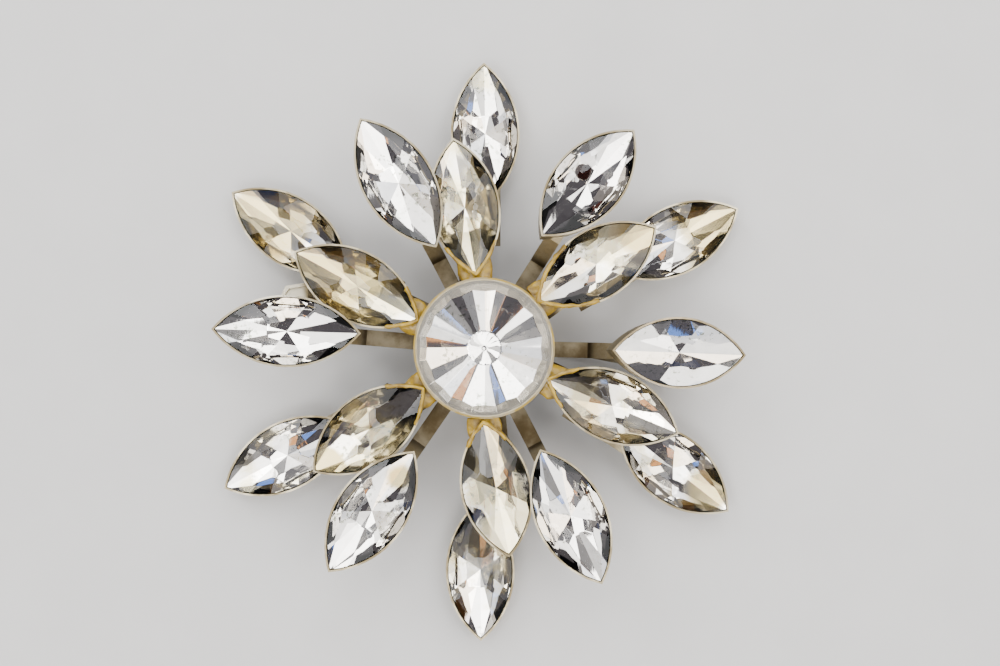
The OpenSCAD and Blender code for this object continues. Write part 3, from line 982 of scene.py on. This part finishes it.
# %% [markdown]
# Lamps could be pushed about and dimmed by hand until the stones look right. One table with a row
# for each panel does the same, and shows at a glance where it is bright. The brightest panels
# stand at the top and the upper left of the photo's view, and the dimmest at its lower right. Two
# lie lower than the rest, for facets that lean far over.

# %% The ring of panels round the table
WHITE, CREAM, WARM, COOL = (1.0, 1.0, 1.0), (1.0, 0.89, 0.76), (1.0, 0.95, 0.88), (0.90, 0.93, 1.0)
# Name, bearing, elevation, width, height, level and colour
PANELS = [
    ("east", 8, 40, 14, 42, 0.9, CREAM),
    ("east_top", 36, 35, 11, 34, 0.55, WHITE),
    ("top_east", 52, 35, 14, 34, 0.55, COOL),
    ("top", 80, 35, 15, 34, 1.3, WHITE),
    ("top_west", 98, 35, 10, 34, 0.60, WHITE),
    ("key", 128, 35, 16, 34, 1.5, WHITE),
    ("key_side", 147, 35, 13, 34, 0.6, WHITE),
    ("west_top", 163, 35, 10, 34, 0.25, WARM),
    ("west", 178, 35, 10, 34, 0.30, COOL),
    ("west_low", 190, 35, 7, 34, 0.50, WHITE),
    ("low_west", 218, 35, 13, 34, 0.75, WHITE),
    ("low", 259, 35, 10, 34, 1.0, CREAM),
    ("low_side", 273, 35, 11, 34, 0.60, WHITE),
    ("low_east", 313, 38, 10, 28, 0.06, WHITE),
    ("east_low", 326, 38, 9, 28, 0.25, COOL),
    ("east_side", 339, 42, 9, 36, 0.40, WHITE),
    ("east_floor", 2, 10, 40, 12, 0.6, WHITE),
    ("east_edge", 344, 22, 26, 18, 0.45, WHITE),
]
for panel in PANELS:
    add_panel(*panel)
print("panels round the table:", len(PANELS))

# %% [markdown]
# The flat middle of the round stone looks higher up than any other facet. One white plate there
# would show as a plain disc, so a second ring has one narrow panel for each wedge of that stone,
# some bright and some dark, and the middle becomes a small star. Real glass also splits light
# into colours, which this renderer doesn't do. Thin orange and blue strips in the gaps of the
# lower ring stand for that, and show as coloured edges in a few facets.

# %% The high ring and the coloured strips
# Bearing of the first panel, and the elevation, width and height of all
HIGH_FIRST, HIGH_UP, HIGH_WIDE, HIGH_TALL = 16.9, 65, 9, 16
HIGH_LEVELS = [1.2, 1.2, 0.05, 1.5, 1.3, 0.05, 1.5, 0.2, 1.3, 1.3, 1.3, 1.4, 1.4, 0.9, 0.4, 1.1]
for k, level in enumerate(HIGH_LEVELS):
    add_panel("high_%d" % k, HIGH_FIRST + 360 / WEDGES * k, HIGH_UP, HIGH_WIDE, HIGH_TALL, level, WHITE)

ORANGE, BLUE = (1.0, 0.42, 0.10), (0.12, 0.32, 1.0)
FRINGE_UP, FRINGE_TALL, FRINGE_LEVEL = 40, 22, 0.22
# Bearing, width and colour
FRINGES = [(230, 1.0, ORANGE), (241, 1.0, BLUE), (249, 1.5, ORANGE), (285, 1.0, ORANGE), (64, 1.0, ORANGE),
           (109, 1.0, BLUE), (157, 1.0, ORANGE), (171, 1.0, BLUE), (349, 1.0, BLUE), (356, 1.0, ORANGE),
           (15, 1.0, BLUE), (319, 1.5, BLUE)]
for k, (bearing, wide, colour) in enumerate(FRINGES):
    add_panel("fringe_%d" % k, bearing, FRINGE_UP, wide, FRINGE_TALL, FRINGE_LEVEL, colour)
print("high panels:", len(HIGH_LEVELS), "and strips:", len(FRINGES))

# %% [markdown]
# Between the panels the stones see the room. It is dim, or no facet would ever be dark. Where the
# camera looks past the table's edge, though, the room should be as pale as the table. Light Path
# tells the two apart: one colour for what the camera sees itself, and another for all the rest.

# %% The room
DIM_ROOM, PALE_ROOM = (0.110, 0.103, 0.118, 1.0), (0.70, 0.70, 0.70, 1.0)
world = bpy.data.worlds.new("room")
world.use_nodes = True
background = world.node_tree.nodes["Background"]
seen = node(world.node_tree, "ShaderNodeLightPath")
wall = node(world.node_tree, "ShaderNodeMix", data_type="RGBA")
wall.inputs[6].default_value = DIM_ROOM
wall.inputs[7].default_value = PALE_ROOM
world.node_tree.links.new(seen.outputs["Is Camera Ray"], wall.inputs[0])
world.node_tree.links.new(wall.outputs[2], background.inputs["Color"])
bpy.context.scene.world = world
print("the stones see a room of", DIM_ROOM[0], "and the camera one of", PALE_ROOM[0])

# %% [markdown]
# The dressed brooch has to be as large as the frame that it was built on.
